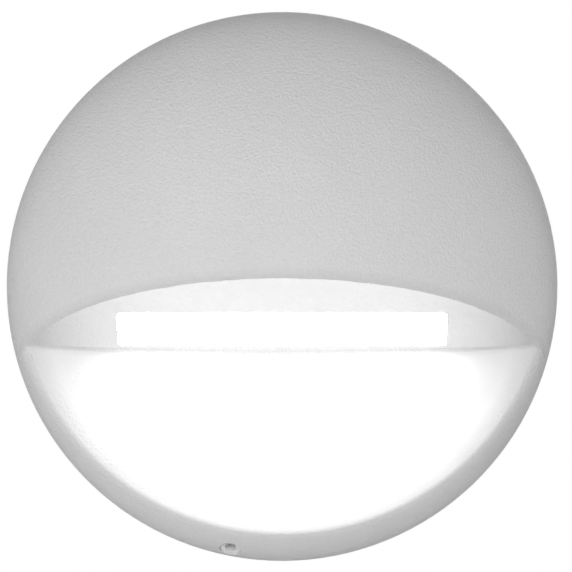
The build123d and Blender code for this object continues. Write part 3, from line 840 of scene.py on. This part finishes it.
class DECKLIGHT_OT_light_engine(bpy.types.Operator):
    """Light packages on their strip, pad and spreader"""

    bl_idname = "deck_light.light_engine"
    bl_label = "Light engine"

    def execute(self, context):
        packages = settings_of(context).packages
        dress("led_board", solder_mask("white_board", (0.84, 0.84, 0.82), (0.78, 0.78, 0.76)))
        pad = moulded("grey_pad", (0.5, 0.53, 0.57), roughness=0.75, grain=0.2 * MM, depth=0.01 * MM)
        dress("thermal_pad", pad)
        dress("heat_spreader", milled_aluminium())
        feet, size = row_of_packages("led_chips", SLOPE_OUT, packages.led_count)
        values = {
            "Size": size,
            "Cap Share": packages.contact_share,
            "Face Share": packages.face_share,
            "Face Height": PHOSPHOR_HEIGHT,
            "Axis": SLOPE_OUT,
            "Body": moulded("led_housing", (0.85, 0.85, 0.82), roughness=0.4),
            "Caps": tin(),
            "Face": moulded("led_phosphor", (0.9, 0.72, 0.2), roughness=0.5, grain=0.08 * MM, spread=0.12),
        }
        piece = grow(package_tree(), feet, "led_packages", values)
        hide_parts("led_chips")
        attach(piece, "head")
        return {"FINISHED"}


class DECKLIGHT_OT_driver(bpy.types.Operator):
    """Driver board and what is soldered to it"""

    bl_idname = "deck_light.driver"
    bl_label = "Driver"

    def execute(self, context):
        packages = settings_of(context).packages
        black = moulded("black_package", (0.03, 0.03, 0.032), roughness=0.45, grain=0.1 * MM)
        dress("driver_board", solder_mask("green_board", (0.03, 0.2, 0.09), (0.04, 0.235, 0.107)))
        dress("supply_terminal", moulded("terminal_plastic", (0.07, 0.34, 0.18), roughness=0.4))
        dress("rectifier", black)
        dress("driver_chip", black)
        dress("filter_capacitor", drawn_can())
        ferrite = moulded("ferrite", (0.09, 0.09, 0.095), roughness=0.7, grain=0.15 * MM, depth=0.012 * MM)
        dress("inductor", ferrite)
        dress("led_connector", moulded("ivory_plastic", (0.84, 0.8, 0.7), roughness=0.4))
        feet, size = row_of_packages("chip_resistors", FRONT, packages.resistor_count)
        values = {
            "Size": size,
            "Cap Share": packages.cap_share,
            "Face Share": packages.face_share,
            "Face Height": COATING_HEIGHT,
            "Axis": FRONT,
            "Body": moulded("alumina", (0.82, 0.82, 0.8), roughness=0.5, grain=0.05 * MM),
            "Caps": tin(),
            "Face": black,
        }
        piece = grow(package_tree(), feet, "resistor_packages", values)
        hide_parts("chip_resistors")
        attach(piece, "head")
        return {"FINISHED"}


class DECKLIGHT_OT_wires(bpy.types.Operator):
    """Insulated wires from the driver to the strip"""

    bl_idname = "deck_light.wires"
    bl_label = "Wires"

    def execute(self, context):
        dress("wire_red", moulded("red_insulation", (0.6, 0.03, 0.03), roughness=0.3))
        dress("wire_black", moulded("black_insulation", (0.025, 0.025, 0.027), roughness=0.3))
        return {"FINISHED"}


class DECKLIGHT_OT_screws(bpy.types.Operator):
    """Plated screws of the strip, the spreader, the driver and the back cover"""

    bl_idname = "deck_light.screws"
    bl_label = "Screws"

    def execute(self, context):
        sizes = settings_of(context).screws
        plated = metal("plated_steel", (0.66, 0.66, 0.64), roughness=0.32, marks=fine_grain, depth=0.003 * MM)
        tree = screw_tree()
        pan = (sizes.pan_height, sizes.pan_top, sizes.pan_seat, PAN_CROWN)
        sunk = (sizes.sunk_height, sizes.sunk_top, sizes.shank, SUNK_CROWN)
        groups = (
            ("led_board_screws", SLOPE_OUT, pan),
            ("spreader_screws", REAR, pan),
            ("driver_screws", REAR, pan),
            ("back_cover_screws", REAR, sunk),
        )
        for node, axis, (height, top, seat, crown) in groups:
            tops, whole = head_tops(node, axis)
            values = {
                "Head Height": height,
                "Top Radius": top,
                "Seat Radius": seat,
                "Crown": crown,
                "Length": whole,
                "Shank Radius": sizes.shank,
                "Thread Depth": sizes.thread,
                "Thread Count": max(1, round((whole - height) / sizes.pitch)),
                "Recess Width": sizes.recess_width,
                "Recess Span": sizes.recess_span,
                "Recess Depth": sizes.recess_depth,
                "Axis": axis,
                "Metal": plated,
            }
            piece = grow(tree, tops, "turned_" + node, values)
            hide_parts(node)
            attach(piece, "head")
        return {"FINISHED"}


class DECKLIGHT_OT_back(bpy.types.Operator):
    """Back cover, its seal and the lead's grommet"""

    bl_idname = "deck_light.back"
    bl_label = "Back"

    def execute(self, context):
        rubber = moulded(
            "black_rubber", (0.03, 0.03, 0.032), roughness=0.7, grain=0.15 * MM, depth=0.006 * MM
        )
        sheet = metal(
            "anodised_aluminium", (0.6, 0.61, 0.62), roughness=0.42, marks=brushing, depth=0.004 * MM
        )
        dress("back_cover", sheet)
        dress("back_seal", rubber)
        dress("lead_grommet", rubber)
        return {"FINISHED"}


class DECKLIGHT_OT_base(bpy.types.Operator):
    """Mounting ring and the foam gasket under it"""

    bl_idname = "deck_light.base"
    bl_label = "Base"

    def execute(self, context):
        ring = metal("turned_aluminium", (0.72, 0.73, 0.74), roughness=0.34, marks=turning, depth=0.004 * MM)
        dress("mounting_ring", ring)
        dress("wall_gasket", foam("grey_foam", (0.6, 0.6, 0.59)))
        return {"FINISHED"}


class DECKLIGHT_OT_set_screw(bpy.types.Operator):
    """Set screw under the lip, in a lighter copy of the coat that paints light on its face"""

    bl_idname = "deck_light.set_screw"
    bl_label = "Set screw"

    def execute(self, context):
        coat = settings_of(context).coat
        dress("set_screw", powder_coat("screw_coat", coat, coat.screw_lit_tint))
        return {"FINISHED"}


class DECKLIGHT_OT_stage(bpy.types.Operator):
    """Camera, lamps, white surroundings and a pale floor"""

    bl_idname = "deck_light.stage"
    bl_label = "Stage"

    def execute(self, context):
        stage = settings_of(context).stage
        scene = context.scene
        scene.view_settings.view_transform = "Standard"
        rim = Vector((stage.aside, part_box("front_cover")[1].y, stage.raise_by))
        away = Vector((0, -cos(stage.elevation), sin(stage.elevation)))
        camera = bpy.data.objects.new("camera", bpy.data.cameras.new("camera"))
        camera.data.lens = stage.focal
        camera.data.sensor_width = FRAME_WIDTH
        camera.data.clip_start = NEAREST_SEEN
        camera.location = rim + away * stage.distance
        camera.rotation_euler = (-away).to_track_quat("-Z", "Y").to_euler()
        scene.collection.objects.link(camera)
        scene.camera = camera
        for name, place, width in LAMPS:
            softbox(name, place, width, getattr(stage, name))
        surroundings(scene, stage.ambient)
        floor = bpy.data.meshes.new("floor")
        square = ((-1, -1), (1, -1), (1, 1), (-1, 1))
        corners = [(x * FLOOR_HALF, y * FLOOR_HALF, stage.floor) for x, y in square]
        floor.from_pydata(corners, [], [(0, 1, 2, 3)])
        floor.materials.append(pale_floor(stage.floor_lift))
        ground = bpy.data.objects.new("floor", floor)
        scene.collection.objects.link(ground)
        return {"FINISHED"}


class DECKLIGHT_PT_build(bpy.types.Panel):
    """Lists the settings and the steps of the build."""

    bl_idname = "DECKLIGHT_PT_build"
    bl_label = "Deck light"
    bl_space_type = "VIEW_3D"
    bl_region_type = "UI"
    bl_category = "Deck light"

    def draw(self, context):
        settings = settings_of(context)
        for group in DeckLightSettings.__annotations__:
            box = self.layout.box()
            box.label(text=group.capitalize())
            part = getattr(settings, group)
            for key in part.__annotations__:
                box.prop(part, key)
        for step in BUILD_ORDER:
            self.layout.operator("deck_light." + step)


BUILD_ORDER = (
    "stage", "cover", "lens", "light_engine", "driver", "wires", "screws", "back", "base", "set_screw",
)

CLASSES = (
    CoatSettings,
    LensSettings,
    ScrewSettings,
    PackageSettings,
    StageSettings,
    DeckLightSettings,
    DECKLIGHT_OT_cover,
    DECKLIGHT_OT_lens,
    DECKLIGHT_OT_light_engine,
    DECKLIGHT_OT_driver,
    DECKLIGHT_OT_wires,
    DECKLIGHT_OT_screws,
    DECKLIGHT_OT_back,
    DECKLIGHT_OT_base,
    DECKLIGHT_OT_set_screw,
    DECKLIGHT_OT_stage,
    DECKLIGHT_PT_build,
)


def register():
    """Add the classes and the settings to Blender."""
    for item in CLASSES:
        bpy.utils.register_class(item)
    bpy.types.Scene.deck_light = PointerProperty(type=DeckLightSettings)


def unregister():
    """Take the settings and the classes out again."""
    del bpy.types.Scene.deck_light
    for item in reversed(CLASSES):
        bpy.utils.unregister_class(item)


def main():
    """Build the deck light on its frame."""
    register()
    for step in BUILD_ORDER:
        getattr(bpy.ops.deck_light, step)()


if __name__ == "__main__":
    main()
